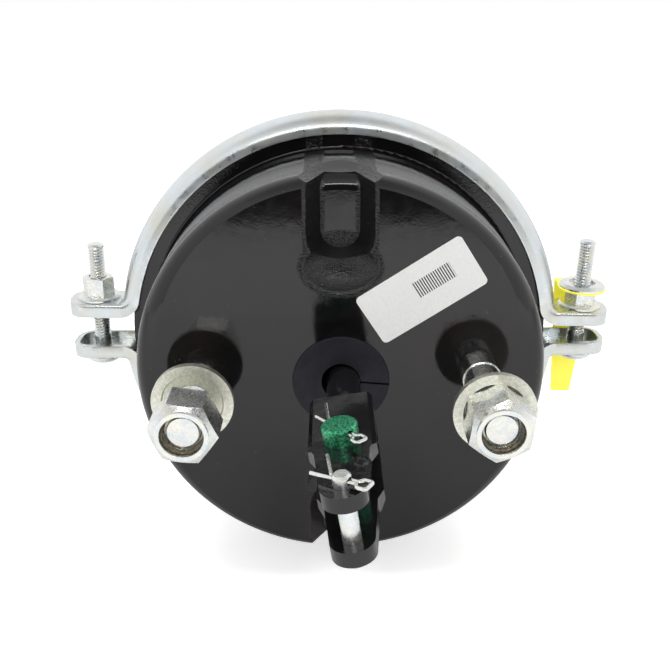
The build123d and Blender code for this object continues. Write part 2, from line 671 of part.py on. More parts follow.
def clevis_pin(y, r, proud, head_r, cotter):
    """Headed pin put in from below, with a cross hole near its top end."""
    under = -CLEVIS_HALF_H - PIN_FIT
    pin = post(r, under, CLEVIS_HALF_H + proud, 0, -y)
    pin = chamfer(pin.edges().sort_by(Axis.Z)[-1], PIN_CHAMFER)
    head = post(head_r, under - PIN_HEAD, under, 0, -y)
    head = chamfer(head.edges().sort_by(Axis.Z)[0], PIN_CHAMFER)
    hole = Rot(0, 90, 0) * Cylinder(2 * cotter["wire"] + COTTER_FIT, 4 * r)
    return rolled(pin + head - cross_place(y, cotter) * hole)


def cross_place(y, cotter):
    """Where a cotter crosses its pin."""
    return Pos(0, -y, CLEVIS_HALF_H + cotter["up"]) * Rot(0, 0, -cotter["turn"])


def cotter_pin(y, r, cotter):
    """Split pin: two legs side by side through the pin, an eye at one end and
    one leg bent out."""
    wire = cotter["wire"]
    splay = radians(cotter["splay"])
    bent = (-cotter["bent"] * cos(splay), cotter["bent"] * sin(splay))
    neck = r + 4 * wire
    points = [(-cotter["leg"], -wire), (neck, -wire), (neck + 2 * wire, -3.4 * wire),
              (neck + 7 * wire, -3.4 * wire), (neck + 7 * wire, 3.4 * wire),
              (neck + 2 * wire, 3.4 * wire), (neck, wire), (-r - 2 * wire, wire), bent]
    path = FilletPolyline(*points, radius=1.5 * wire)
    pin = sweep(Plane(origin=path @ 0, z_dir=path % 0) * Circle(wire), path)
    return rolled(cross_place(y, cotter) * pin)


# ---- label ------------------------------------------------------------------------------
def label():
    """Sticker that follows the face."""
    card = RectangleRounded(LABEL_W, LABEL_H, 2)
    facing = Plane(origin=(LABEL_X, -WALL, LABEL_Z), x_dir=(1, 0, 0), z_dir=(0, -1, 0))
    prism = extrude(facing * (Rot(0, 0, LABEL_TURN_ANGLE) * card), -2 * WALL - LABEL_T)
    return (prism & (Pos(0, -LABEL_T, 0) * OUTER_FRONT)) - OUTER_FRONT


LARGE_COTTER = {"wire": LARGE_COTTER_WIRE, "up": LARGE_COTTER_UP, "leg": LARGE_COTTER_LEG,
                "bent": LARGE_COTTER_BENT, "splay": LARGE_SPLAY_ANGLE, "turn": LARGE_TURN_ANGLE}
SMALL_COTTER = {"wire": SMALL_COTTER_WIRE, "up": SMALL_COTTER_UP, "leg": SMALL_COTTER_LEG,
                "bent": SMALL_COTTER_BENT, "splay": SMALL_SPLAY_ANGLE, "turn": SMALL_TURN_ANGLE}
OUTER_FRONT = outer_front()

NODES = {
    "non_pressure_housing": non_pressure_housing(),
    "pressure_housing": pressure_housing(),
    "clamp_ring_upper": clamp_ring_upper(),
    "clamp_ring_lower": clamp_ring_lower(),
    "clamp_bolt_left": clamp_bolt(-BOLT_X),
    "clamp_bolt_right": clamp_bolt(BOLT_X),
    "clamp_nut_left": clamp_nut(-BOLT_X, CLAMP_NUT_H),
    "clamp_nut_right": clamp_nut(BOLT_X, TAG_NUT_H),
    "tag_push_nut": tag_push_nut(),
    "stroke_tag": stroke_tag(),
    "mounting_stud_left": mounting_stud(-STUD_X),
    "mounting_stud_right": mounting_stud(STUD_X),
    "mounting_nut_left": mounting_nut(-STUD_X, NUT_LEFT_ANGLE),
    "mounting_nut_right": mounting_nut(STUD_X, NUT_RIGHT_ANGLE),
    "mounting_washer_left": mounting_washer(-STUD_X, LEFT_WASHER_Y),
    "mounting_washer_right": mounting_washer(STUD_X, STUD_OUT + NUT_PROUD - NUT_H - WASHER_T),
    "stud_plate": stud_plate(),
    "port_boss_left": port_boss(-PORT_X),
    "port_boss_right": port_boss(PORT_X),
    "port_plug": port_plug(),
    "diaphragm": diaphragm(),
    "return_spring": return_spring(),
    "rod_seal": rod_seal(),
    "push_plate": push_plate(),
    "push_rod": push_rod(),
    "clevis": clevis(),
    "large_clevis_pin": clevis_pin(LARGE_PIN_Y, LARGE_PIN_R, LARGE_PIN_PROUD, LARGE_HEAD_R, LARGE_COTTER),
    "small_clevis_pin": clevis_pin(SMALL_PIN_Y, SMALL_PIN_R, SMALL_PIN_PROUD, SMALL_HEAD_R, SMALL_COTTER),
    "large_cotter": cotter_pin(LARGE_PIN_Y, LARGE_PIN_R, LARGE_COTTER),
    "small_cotter": cotter_pin(SMALL_PIN_Y, SMALL_PIN_R, SMALL_COTTER),
    "label": label(),
}

os.makedirs("parts", exist_ok=True)
for name, solid in NODES.items():
    export_step(solid, f"parts/{name}.step")
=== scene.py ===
from math import cos, pi, radians, sin

import bmesh
import bpy
import numpy as np
from mathutils import Matrix, Vector


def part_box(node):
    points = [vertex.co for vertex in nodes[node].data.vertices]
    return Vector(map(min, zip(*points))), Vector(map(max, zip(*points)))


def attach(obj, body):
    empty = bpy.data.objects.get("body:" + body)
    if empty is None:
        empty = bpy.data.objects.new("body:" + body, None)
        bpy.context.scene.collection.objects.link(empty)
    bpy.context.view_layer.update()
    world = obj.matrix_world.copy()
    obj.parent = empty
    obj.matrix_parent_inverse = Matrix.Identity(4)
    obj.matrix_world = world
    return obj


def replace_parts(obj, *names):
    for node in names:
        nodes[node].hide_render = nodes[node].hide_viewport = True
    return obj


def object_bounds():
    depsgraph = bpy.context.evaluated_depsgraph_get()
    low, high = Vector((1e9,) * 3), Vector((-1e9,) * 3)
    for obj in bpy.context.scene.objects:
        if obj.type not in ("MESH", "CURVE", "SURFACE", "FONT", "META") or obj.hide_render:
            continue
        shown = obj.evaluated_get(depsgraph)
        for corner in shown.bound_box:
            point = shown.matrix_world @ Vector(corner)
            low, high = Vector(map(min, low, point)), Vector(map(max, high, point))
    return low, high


# An air brake chamber lying on its clamp ring, push rod and clevis forwards along
# -Y. The CAD nodes give every place and size, in metres.
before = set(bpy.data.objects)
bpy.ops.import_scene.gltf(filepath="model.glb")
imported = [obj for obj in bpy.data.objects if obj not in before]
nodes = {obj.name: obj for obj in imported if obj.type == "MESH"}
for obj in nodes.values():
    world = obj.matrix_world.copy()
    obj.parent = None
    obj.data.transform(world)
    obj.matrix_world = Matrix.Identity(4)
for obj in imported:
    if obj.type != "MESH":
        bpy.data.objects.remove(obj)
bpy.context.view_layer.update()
MM = 0.001


# ---- pressed housings --------------------------------------------------------------
# Two deep-drawn steel cups, dipped in black enamel before the clamp ring goes on.
# The enamel is glossy, with a faint orange peel, dust nibs and brownish blooms.
def put(tree, kind, feeds, **settings):
    """Shader node of this kind. settings are its own switches, and feeds gives each
    socket a constant or another node's output."""
    made = tree.nodes.new("ShaderNode" + kind)
    for name, value in settings.items():
        setattr(made, name, value)
    for socket, value in feeds.items():
        if isinstance(value, bpy.types.NodeSocket):
            tree.links.new(value, made.inputs[socket])
        else:
            made.inputs[socket].default_value = value
    return made


def bare_finish(name, metal, **sockets):
    """Material with a principled shader, and the tree that holds it."""
    finish = bpy.data.materials.new(name)
    finish.use_nodes = True
    shader = finish.node_tree.nodes["Principled BSDF"]
    shader.inputs["Metallic"].default_value = metal
    for socket, value in sockets.items():
        shader.inputs[socket.replace("_", " ")].default_value = value
    return finish, finish.node_tree, shader


def own_place(tree):
    """The piece's own coordinates in metres."""
    return put(tree, "TexCoord", {}).outputs["Object"]


def blotches(tree, size, detail=2.0, stretch=(1, 1, 1)):
    """Cloudy noise with blotches this many metres across."""
    place = put(tree, "Mapping", {"Vector": own_place(tree), "Scale": stretch}).outputs[0]
    return put(tree, "TexNoise", {"Vector": place, "Scale": 1 / size, "Detail": detail}).outputs["Fac"]


def spread(tree, source, start, stop, low, high):
    """Map the source from start...stop to low...high, held at both ends."""
    feeds = {"Value": source, "From Min": start, "From Max": stop, "To Min": low, "To Max": high}
    return put(tree, "MapRange", feeds).outputs[0]


def specks(tree, spacing, radius):
    """One where a round speck lies, with one speck in each cell of this spacing."""
    cells = put(tree, "TexVoronoi", {"Vector": own_place(tree), "Scale": 1 / spacing})
    return spread(tree, cells.outputs["Distance"], radius, radius * 0.6, 0, 1)


def tint(tree, source, first, second):
    """Colour that goes from first to second as the source goes from 0 to 1. Each of the
    two is a colour or another node's output."""
    ends = [end if isinstance(end, bpy.types.NodeSocket) else (*end, 1) for end in (first, second)]
    return put(tree, "Mix", {0: source, 6: ends[0], 7: ends[1]}, data_type="RGBA").outputs[2]


def clouded(tree, shader, cloud, start, stop, first, second):
    """Base colour that goes from first to second as the cloud goes from start to stop."""
    share = spread(tree, cloud, start, stop, 0, 1)
    tree.links.new(tint(tree, share, first, second), shader.inputs["Base Color"])


def uneven_gloss(tree, shader, size, detail, low, high):
    """Roughness that goes from low to high in blotches of this size."""
    share = blotches(tree, size, detail)
    tree.links.new(spread(tree, share, 0.3, 0.7, low, high), shader.inputs["Roughness"])


def relief(tree, shader, *layers, below=None):
    """Bump the shader by layers of (height, depth in metres, and where it is so much),
    one on another, the first on the normal below."""
    for height, depth, *share in layers:
        feeds = {"Height": height, "Distance": depth}
        if share:
            feeds["Strength"] = share[0]
        if below:
            feeds["Normal"] = below
        below = put(tree, "Bump", feeds).outputs[0]
    tree.links.new(below, shader.inputs["Normal"])


def dress(finish, *names):
    """Give CAD nodes this finish."""
    for name in names:
        nodes[name].data.materials.clear()
        nodes[name].data.materials.append(finish)


FRONT_DEPTH = 50.0 * MM     # front housing, from its face to the flange
DRAFT = 0.15                # how far its wall's normal leans forward
DRAFT_START = 6.0 * MM      # the lean comes in from here...
DRAFT_FULL = 22.0 * MM      # ...to here
DRAWN_R = 84.0 * MM         # beyond this the sheet is drawn over the cup's corner
BOWL_Z = 50.3 * MM          # middle of the bowl at a channel's end, and its half sizes
BOWL_HALF_X = 17.5 * MM
BOWL_HALF_Z = 12.5 * MM
CHANNEL_X = 15.5 * MM       # half width of a channel, and where it starts
CHANNEL_Z = 54.0 * MM
CHANNEL_FLOOR_X = 7.5 * MM  # half width of its flat floor, and where that starts
CHANNEL_FLOOR_Z = 60.0 * MM


def both(tree, first, second):
    """One where both are."""
    return put(tree, "Math", {0: first, 1: second}, operation="MULTIPLY").outputs[0]


def either(tree, first, second):
    """One where at least one of them is."""
    return put(tree, "Math", {0: first, 1: second}, operation="MAXIMUM").outputs[0]


def flat_place(tree):
    """The piece's own coordinates without y, so its length is the radius from the axis."""
    return put(tree, "VectorMath", {0: own_place(tree), 1: (1, 0, 1)}, operation="MULTIPLY").outputs[0]


def farther(tree, vector, start, stop):
    """Goes from 0 to 1 as the vector's length goes from start to stop."""
    size = put(tree, "VectorMath", {0: vector}, operation="LENGTH")
    return spread(tree, size.outputs["Value"], start, stop, 0, 1)


def drawn_share(tree):
    """One where the sheet is stretched most, so its enamel peels: in the bowls and along
    the walls of the channels, and a little over the corner."""
    flat = flat_place(tree)
    corner = spread(tree, farther(tree, flat, DRAWN_R, DRAWN_R + 5 * MM), 0, 1, 0, 0.12)
    upright = put(tree, "VectorMath", {0: flat}, operation="ABSOLUTE").outputs[0]
    off = put(tree, "VectorMath", {0: upright, 1: (0, 0, BOWL_Z)}, operation="SUBTRACT").outputs[0]
    squashed = put(tree, "VectorMath", {0: off, 1: (1 / BOWL_HALF_X, 0, 1 / BOWL_HALF_Z)},
                   operation="MULTIPLY").outputs[0]
    bowl = farther(tree, squashed, 1.05, 0.92)
    axes = put(tree, "SeparateXYZ", {0: upright})
    right, up = axes.outputs["X"], axes.outputs["Z"]
    channel = both(tree, spread(tree, right, CHANNEL_X, CHANNEL_X - MM, 0, 1),
                   spread(tree, up, CHANNEL_Z, CHANNEL_Z + MM, 0, 1))
    floor = both(tree, spread(tree, right, CHANNEL_FLOOR_X, CHANNEL_FLOOR_X - 1.5 * MM, 0, 1),
                 spread(tree, up, CHANNEL_FLOOR_Z, CHANNEL_FLOOR_Z + MM, 0, 1))
    walls = put(tree, "Math", {0: channel, 1: floor}, operation="SUBTRACT", use_clamp=True).outputs[0]
    return either(tree, either(tree, corner, bowl), walls)


def wall_slope(tree):
    """Normal of the surface, leaning forward by up to DRAFT on the front housing's wall,
    which widens towards the flange."""
    back = put(tree, "SeparateXYZ", {0: own_place(tree)}).outputs["Y"]
    along = both(tree, spread(tree, back, DRAFT_START, DRAFT_FULL, 0, 1),
                 spread(tree, back, FRONT_DEPTH, FRONT_DEPTH - MM, 0, 1))
    share = both(tree, farther(tree, flat_place(tree), DRAWN_R + MM, DRAWN_R + 3 * MM), along)
    lean = put(tree, "VectorMath", {0: (0, -DRAFT, 0), "Scale": share}, operation="SCALE").outputs[0]
    outward = put(tree, "NewGeometry", {}).outputs["Normal"]
    leant = put(tree, "VectorMath", {0: outward, 1: lean}, operation="ADD").outputs[0]
    return put(tree, "VectorMath", {0: leant}, operation="NORMALIZE").outputs[0]


def enamel_finish():
    """Black dipped enamel: blooms, a few dust nibs, and orange peel in three sizes."""
    finish, tree, shader = bare_finish("black_enamel", 0.0, IOR=1.52)
    bloom = spread(tree, blotches(tree, 0.022, 3, (1, 1, 0.45)), 0.5, 0.72, 0, 1)
    ground = tint(tree, bloom, (0.0045, 0.0043, 0.0048), (0.0095, 0.0062, 0.0065))
    rare = spread(tree, blotches(tree, 0.009, 1), 0.52, 0.6, 0, 1)
    dust = both(tree, specks(tree, 0.0034, 0.10), rare)
    tree.links.new(tint(tree, dust, ground, (0.06, 0.058, 0.055)), shader.inputs["Base Color"])
    uneven_gloss(tree, shader, 0.006, 4, 0.05, 0.12)
    relief(tree, shader, (blotches(tree, 0.0011, 2), 0.000008), (blotches(tree, 0.0065, 1), 0.00002),
           (blotches(tree, 0.0007, 1), 0.00034, drawn_share(tree)), below=wall_slope(tree))
    return finish


dress(enamel_finish(), "non_pressure_housing", "pressure_housing", "stud_plate",
      "port_boss_left", "port_boss_right")


# ---- clamp ring --------------------------------------------------------------------
# Two pressed half rings of V section that squeeze the housings' flanges together.
# Zinc plated after pressing: blue-white, faintly brushed round the ring.
CROWN_R = 103.2 * MM        # outer face of the strip, at its shoulders
ARCH_RISE = 1.9 * MM        # and how far its middle is arched beyond that
RING_HALF = 11.0 * MM       # half the distance across the lips
RING_LIP = 7.2 * MM         # depth of the lips under the crown
RING_SHEET = 2.6 * MM
FLANK_FOOT = 4.6 * MM       # depth at which the flank runs into the arch
FLANK_LEAN = 0.3 * MM
ARCH_HALF = 10.731 * MM     # half sizes of the arch's ellipse, which meets the flank
ARCH_DEPTH = 5.13 * MM      # as a tangent at ARCH_FOOT
ARCH_FOOT = radians(4.33)
LUG_END = 129.0 * MM
LUG_ROUND = 8.0 * MM
LUG_BEND = 3.2 * MM
LUG_H = 6.9 * MM
LUG_SQUARENESS = 0.21       # power of its superellipse
UPPER_MOUTH = 8.0 * MM      # the lugs' mouths above and below the axis
LOWER_MOUTH = 3.8 * MM
CLAMP_TURN = radians(1.45)  # the upper half is drawn down further on the right
CLOSE_ROWS = 4              # rows of points in which a lug's end wall closes
BLEND_ROWS = 8              # and in which a lug goes over into the arc, past its bend


def ring_zinc_finish():
    """Zinc plate with soft cloudy bands and a fine brushed grain."""
    finish, tree, shader = bare_finish("ring_zinc", 1.0)
    clouded(tree, shader, blotches(tree, 0.016, 3), 0.35, 0.7, (0.74, 0.79, 0.82), (0.72, 0.72, 0.66))
    uneven_gloss(tree, shader, 0.004, 4, 0.24, 0.38)
    relief(tree, shader, (blotches(tree, 0.0007, 3, (1, 0.25, 1)), 0.00002),
           (blotches(tree, 0.011, 1), 0.00006))
    return finish


def clamp_path(lug_top):
    """Line of the strip's outer face, from the left lug's end over the arc to the
    right one's. Each lug is straight, then a small bend of LUG_BEND turns it into the
    arc. Gives the points, the direction of the strip's inner side at each, and how
    far along its lug each one is, from 0 on the arc to 1 past the bend."""
    bend_z = lug_top + LUG_BEND
    bend_x = np.sqrt((CROWN_R + LUG_BEND) ** 2 - bend_z**2)
    rise = np.arctan2(bend_z, bend_x)
    rounded = LUG_END - LUG_ROUND * (1 - np.cos(np.linspace(0, pi / 2, 9)))
    straight = np.linspace(LUG_END - LUG_ROUND, bend_x, 7)[1:]
    lug_x = np.concatenate([[LUG_END] * (CLOSE_ROWS - 1), rounded, straight])
    lug = np.column_stack([lug_x, np.full_like(lug_x, lug_top)])
    lug_in = np.tile([0.0, -1.0], (len(lug), 1))
    turn = np.linspace(-pi / 2, -pi + rise, 14)[1:-1]
    bend_in = np.column_stack([np.cos(turn), np.sin(turn)])
    bend = np.array([bend_x, bend_z]) + LUG_BEND * bend_in
    sweep = np.linspace(rise, pi - rise, 141)
    arc_in = -np.column_stack([np.cos(sweep), np.sin(sweep)])
    flip = np.array([-1, 1])
    spots = np.concatenate([lug, bend, -CROWN_R * arc_in, bend[::-1] * flip, lug[::-1] * flip])
    inward = np.concatenate([lug_in, bend_in, arc_in, bend_in[::-1] * flip, lug_in[::-1] * flip])
    whole = np.ones(len(lug))
    share = np.linspace(1, 0, len(bend) + BLEND_ROWS)
    none = np.zeros(len(sweep) - 2 * BLEND_ROWS)
    lugness = np.concatenate([whole, share, none, share[::-1], whole])
    return spots, inward, lugness


def clamp_section(lugness):
    """Strip's cross-section at each place along it, as (across, depth from the outer
    face). On the arc it is half an ellipse that runs on into the leaning flanks. On a
    lug it is a superellipse, |cos q| and sin q to a small power, which is nearly a
    square-cornered channel. The two mix in between."""
    flank = np.linspace(1, 0, 4)[:-1]
    bow = np.linspace(ARCH_FOOT, pi - ARCH_FOOT, 45)
    arc_across = [RING_HALF - FLANK_LEAN * (1 - flank), ARCH_HALF * np.cos(bow)]
    arc_depth = [FLANK_FOOT + (RING_LIP - FLANK_FOOT) * flank,
                 ARCH_DEPTH - (ARCH_DEPTH + ARCH_RISE) * np.sin(bow)]
    q = np.linspace(0, pi, 45)
    lug_across = [flank * 0 + RING_HALF,
                  RING_HALF * np.sign(np.cos(q)) * np.abs(np.cos(q)) ** LUG_SQUARENESS]
    lug_depth = [flank * 0 + LUG_H, LUG_H * (1 - np.sin(q) ** LUG_SQUARENESS)]
    arc_across, lug_across = (np.hstack([*part, -part[0][::-1]]) for part in (arc_across, lug_across))
    arc_depth, lug_depth = (np.hstack([*part, part[0][::-1]]) for part in (arc_depth, lug_depth))
    share = lugness[:, None]
    return arc_across + (lug_across - arc_across) * share, arc_depth + (lug_depth - arc_depth) * share


def clamp_strip(name, mouth, turn, upside):
    """Half ring: the section carried along the path, then turned about the axis. Near a
    lug's end the section narrows round a circle of LUG_ROUND to a flat end wall."""
    spots, inward, lugness = clamp_path(mouth + LUG_H)
    across, depth = clamp_section(lugness)
    past = np.clip(np.abs(spots[:, 0]) - (LUG_END - LUG_ROUND), 0, LUG_ROUND)
    width = 1 - (LUG_ROUND - np.sqrt(LUG_ROUND**2 - past**2)) / RING_HALF
    width[:CLOSE_ROWS] *= np.linspace(0, 1, CLOSE_ROWS)
    width[-CLOSE_ROWS:] *= np.linspace(1, 0, CLOSE_ROWS)
    flat = spots[:, None, :] + depth[..., None] * inward[:, None, :]
    x, z = flat[..., 0], flat[..., 1]
    low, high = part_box("clamp_ring_lower")
    y = (low[1] + high[1]) / 2 - across * width[:, None]
    right = x * cos(turn) + z * sin(turn)
    up = (z * cos(turn) - x * sin(turn)) * upside
    shape = np.stack([right, y, up], axis=-1)
    rows, columns = x.shape
    index = np.arange(rows * columns).reshape(rows, columns)
    quads = np.stack([index[:-1, :-1], index[:-1, 1:], index[1:, 1:], index[1:, :-1]], axis=-1)
    quads = quads.reshape(-1, 4)[:, ::int(upside)]
    mesh = bpy.data.meshes.new(name)
    mesh.from_pydata(shape.reshape(-1, 3).tolist(), [], quads.tolist())
    welded = bmesh.new()
    welded.from_mesh(mesh)
    bmesh.ops.remove_doubles(welded, verts=welded.verts, dist=0.001 * MM)
    welded.to_mesh(mesh)
    welded.free()
    mesh.shade_smooth()
    strip = bpy.data.objects.new(name, mesh)
    bpy.context.scene.collection.objects.link(strip)
    sheet = strip.modifiers.new("sheet", "SOLIDIFY")
    sheet.thickness = RING_SHEET
    sheet.offset = -1
    edge = strip.modifiers.new("edge", "BEVEL")
    edge.width = RING_SHEET / 6
    edge.segments = 2
    edge.angle_limit = radians(50)
    strip.data.materials.append(ring_zinc)
    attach(strip, "chamber")
    return strip


ring_zinc = ring_zinc_finish()
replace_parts(clamp_strip("clamp_strip_upper", UPPER_MOUTH, CLAMP_TURN, 1), "clamp_ring_upper")
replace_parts(clamp_strip("clamp_strip_lower", LOWER_MOUTH, 0.0, -1), "clamp_ring_lower")


# ---- mounting studs ----------------------------------------------------------------
# Two 5/8 in studs pressed through the housing's face, headed inside, with a rolled
# 18 tpi thread over all but the first stretch. Bright zinc plate.
STUD_R = 7.9375 * MM
STUD_SEAT_R = 8.3875 * MM   # where it is pressed into the face
STUD_PLAIN = 16.5 * MM
STUD_CHAMFER = 1.9 * MM
STUD_HEAD = 5.0 * MM
STUD_PITCH = 1.41 * MM
THREAD_SHARE = 0.6          # thread depth as a share of its pitch
STEPS_ROUND = 56            # points round a thread


def bright_zinc_finish():
    """Clear bright zinc, cream where it is thick and bluish where it is thin."""
    finish, tree, shader = bare_finish("bright_zinc", 1.0)
    clouded(tree, shader, blotches(tree, 0.005, 3), 0.38, 0.64, (0.87, 0.855, 0.79), (0.74, 0.78, 0.80))
    uneven_gloss(tree, shader, 0.0016, 4, 0.2, 0.36)
    relief(tree, shader, (blotches(tree, 0.0006, 2), 0.00002), (blotches(tree, 0.004, 1), 0.00006))
    return finish


def threaded_bar(name, start, axis, outline, pitch):
    """Bar turned about an axis from an outline of (distance along, radius, threaded
    from here on) corners. At distance a and angle t its radius is the outline's, less
    a triangle wave of a / pitch - t / 2 pi, so one ridge climbs round the bar."""
    rows = []
    for (a0, r0, cut), (a1, r1, _) in zip(outline, outline[1:]):
        count = max(2, int(abs(a1 - a0) / pitch * 10)) if cut else 2
        share = np.linspace(0, 1, count)
        run_out = np.clip(np.minimum(share, 1 - share) * count / 8, 0, 1)
        depth = run_out * THREAD_SHARE * pitch if cut else 0 * share
        rows.append(np.column_stack([a0 + (a1 - a0) * share, r0 + (r1 - r0) * share, depth]))
    along, radius, depth = np.concatenate(rows).T[:, :, None]
    angle = np.linspace(0, 2 * pi, STEPS_ROUND, endpoint=False)[None, :]
    wave = np.abs(((along / pitch - angle / (2 * pi)) % 1.0) * 2 - 1)
    radius = radius - depth * wave + 0 * angle
    axis = np.array(axis, float)
    side = np.cross(axis, (0, 0, 1) if abs(axis[2]) < 0.5 else (0, 1, 0))
    side /= np.linalg.norm(side)
    across = np.cross(axis, side)
    outward = np.cos(angle)[..., None] * side + np.sin(angle)[..., None] * across
    return skin(name, np.array(start) + along[..., None] * axis + radius[..., None] * outward)


def skin(name, spots, looped=False):
    """Closed mesh over a grid of points whose rows are rings. The first and last ring
    get a flat cap, or are joined to each other where the rows are looped. Quads run
    ring by ring, so the faces point outwards."""
    count, steps = spots.shape[:2]
    index = np.arange(count * steps).reshape(count, steps)
    ahead = np.roll(index, -1, axis=1)
    last = count if looped else count - 1
    above = np.roll(index, -1, axis=0)
    above_ahead = np.roll(ahead, -1, axis=0)
    quads = np.stack([index, ahead, above_ahead, above], axis=-1)[:last].reshape(-1, 4)
    mesh = bpy.data.meshes.new(name)
    caps = [] if looped else [index[0, ::-1].tolist(), index[-1].tolist()]
    mesh.from_pydata(spots.reshape(-1, 3).tolist(), [], quads.tolist() + caps)
    mesh.shade_smooth()
    mesh.set_sharp_from_angle(angle=radians(38))
    piece = bpy.data.objects.new(name, mesh)
    bpy.context.scene.collection.objects.link(piece)
    return piece


bright_zinc = bright_zinc_finish()
for side in ("left", "right"):
    low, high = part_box(f"mounting_stud_{side}")
    centre_x = (low[0] + high[0]) / 2
    head_r = (high[0] - low[0]) / 2
    tip, back = -low[1], -high[1]
    seat = back + STUD_HEAD
    corners = [
        (back, head_r - STUD_HEAD / 3, False),
        (back + STUD_HEAD / 3, head_r, False),
        (seat, head_r, False),
        (seat, STUD_SEAT_R, False),
        (0, STUD_SEAT_R, False),
        (0, STUD_R, False),
        (STUD_PLAIN, STUD_R, True),
        (tip - STUD_CHAMFER, STUD_R, False),
        (tip, STUD_R - STUD_CHAMFER, False)]
    stud = threaded_bar(f"stud_{side}", (centre_x, 0, 0), (0, -1, 0), corners, STUD_PITCH)
    stud.data.materials.append(bright_zinc)
    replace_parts(stud, f"mounting_stud_{side}")
    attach(stud, "chamber")


# ---- mounting nuts and washers -------------------------------------------------------
# Tall hex lock nuts with a collar at the mouth over hardened washers, which are
# stamped and tumbled, so their plate is duller and more yellow.
NUT_BORE_R = 8.42 * MM
THROAT_DEPTH = 9.0 * MM     # how much of the nut's thread is made
THROAT_SUNK = 1.2 * MM      # its mouth behind the nut's front


def dull_zinc_finish():
    """Yellowish tumbled zinc with a crystal mottle."""
    finish, tree, shader = bare_finish("dull_zinc", 1.0)
    clouded(tree, shader, blotches(tree, 0.0013, 4), 0.38, 0.62, (0.89, 0.88, 0.78), (0.70, 0.71, 0.61))
    uneven_gloss(tree, shader, 0.0008, 3, 0.34, 0.5)
    relief(tree, shader, (blotches(tree, 0.0007, 3), 0.00005))
    return finish


def bore_shade_thread_finish():
    """Cut thread in the nut's throat, in dark brown metal that is painted shade of the deep bore."""
    finish, tree, shader = bare_finish("bore_shade_thread", 1.0)
    clouded(tree, shader, blotches(tree, 0.0012, 3), 0.35, 0.65, (0.22, 0.20, 0.15), (0.10, 0.085, 0.06))
    uneven_gloss(tree, shader, 0.0009, 3, 0.3, 0.5)
    relief(tree, shader, (blotches(tree, 0.0006, 3), 0.00003))
    return finish


def nut_throat(name, centre_x, mouth):
    """Lining of the nut's bore: a plain outer wall, then back along an inner one
    whose radius is the bore's less a triangle wave of a / pitch - t / 2 pi."""
    inner = np.linspace(mouth, mouth - THROAT_DEPTH, 70)
    along = np.concatenate([[mouth - THROAT_DEPTH, mouth], inner])[:, None]
    cut = np.concatenate([[0, 0], np.clip((mouth - inner) / STUD_PITCH, 0.1, 1)])[:, None]
    angle = np.linspace(0, 2 * pi, STEPS_ROUND, endpoint=False)[None, :]
    wave = 1 - np.abs(((along / STUD_PITCH - angle / (2 * pi)) % 1.0) * 2 - 1)
    radius = NUT_BORE_R - cut * THREAD_SHARE * STUD_PITCH * wave
    x = centre_x - radius * np.cos(angle)
    return skin(name, np.stack([x, -along + 0 * angle, radius * np.sin(angle)], axis=-1), looped=True)


dull_zinc = dull_zinc_finish()
bore_shade_thread = bore_shade_thread_finish()
for side in ("left", "right"):
    nut_low, nut_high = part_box(f"mounting_nut_{side}")
    throat = nut_throat(f"nut_throat_{side}", (nut_low[0] + nut_high[0]) / 2, -nut_low[1] - THROAT_SUNK)
    # The throat's thread is real; its dark brown colour is painted shade in the bore.
    throat.data.materials.append(bore_shade_thread)
    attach(throat, "chamber")
dress(bright_zinc, "mounting_nut_left", "mounting_nut_right")
dress(dull_zinc, "mounting_washer_left", "mounting_washer_right")


# ---- clamp bolts and nuts ------------------------------------------------------------
# Two 5/16 in bolts put in from below, with a domed head, held in the lower lug, and a
# thread from there up to the flanged nuts and beyond.
BOLT_R = 3.97 * MM
BOLT_HEAD_R = 9.0 * MM
BOLT_HEAD = 5.0 * MM
BOLT_PLAIN = 9.0 * MM       # unthreaded above the head
BOLT_PITCH = 1.41 * MM
BOLT_CHAMFER = 0.8 * MM
BOLT_LEAN = CLAMP_TURN      # the bolts lean with the upper half ring
BOLT_AXIS = (sin(BOLT_LEAN), 0, cos(BOLT_LEAN))

for side in ("left", "right"):
    low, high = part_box(f"clamp_bolt_{side}")
    sunk = BOLT_HEAD_R * sin(BOLT_LEAN)
    length = (high[2] - low[2] - BOLT_R * sin(BOLT_LEAN)) / cos(BOLT_LEAN)
    top = length - BOLT_HEAD - sunk
    foot_x = low[0] + BOLT_HEAD_R * cos(BOLT_LEAN) + (BOLT_HEAD + sunk) * sin(BOLT_LEAN)
    foot = (foot_x, (low[1] + high[1]) / 2, high[2] - top * cos(BOLT_LEAN))
    dome = [(-sunk - BOLT_HEAD * cos(t), BOLT_HEAD_R * (0.05 + 0.95 * sin(t)), False)
            for t in np.linspace(0, pi / 2, 9)]
    corners = [
        *dome,
        (-sunk, BOLT_R, False),
        (LUG_H, BOLT_R, False),
        (BOLT_PLAIN, BOLT_R, True),
        (top - BOLT_CHAMFER, BOLT_R, False),
        (top, BOLT_R - BOLT_CHAMFER, False)]
    bolt = threaded_bar(f"bolt_{side}", foot, BOLT_AXIS, corners, BOLT_PITCH)
    bolt.data.materials.append(bright_zinc)
    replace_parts(bolt, f"clamp_bolt_{side}")
    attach(bolt, "chamber")
dress(bright_zinc, "clamp_nut_left", "clamp_nut_right", "tag_push_nut")


# ---- stroke tag ----------------------------------------------------------------------
# A strip of yellow painted aluminium on the right bolt, folded down behind the ring.
def tag_finish():
    """Yellow paint, a little deeper where it lies thick, with a faint glow of its own that is painted
    light.
    """
    finish, tree, shader = bare_finish("tag_yellow", 0.0, Roughness=0.42)
    # Painted light: the tag glows a little by itself, to brighten it in the shade behind the ring.
    shader.inputs["Emission Color"].default_value = (0.9, 0.85, 0.08, 1)
    shader.inputs["Emission Strength"].default_value = 0.3
    clouded(tree, shader, blotches(tree, 0.012, 3), 0.35, 0.65, (0.95, 0.93, 0.12), (0.92, 0.80, 0.06))
    relief(tree, shader, (blotches(tree, 0.0012, 2), 0.00002))
    return finish


dress(tag_finish(), "stroke_tag")


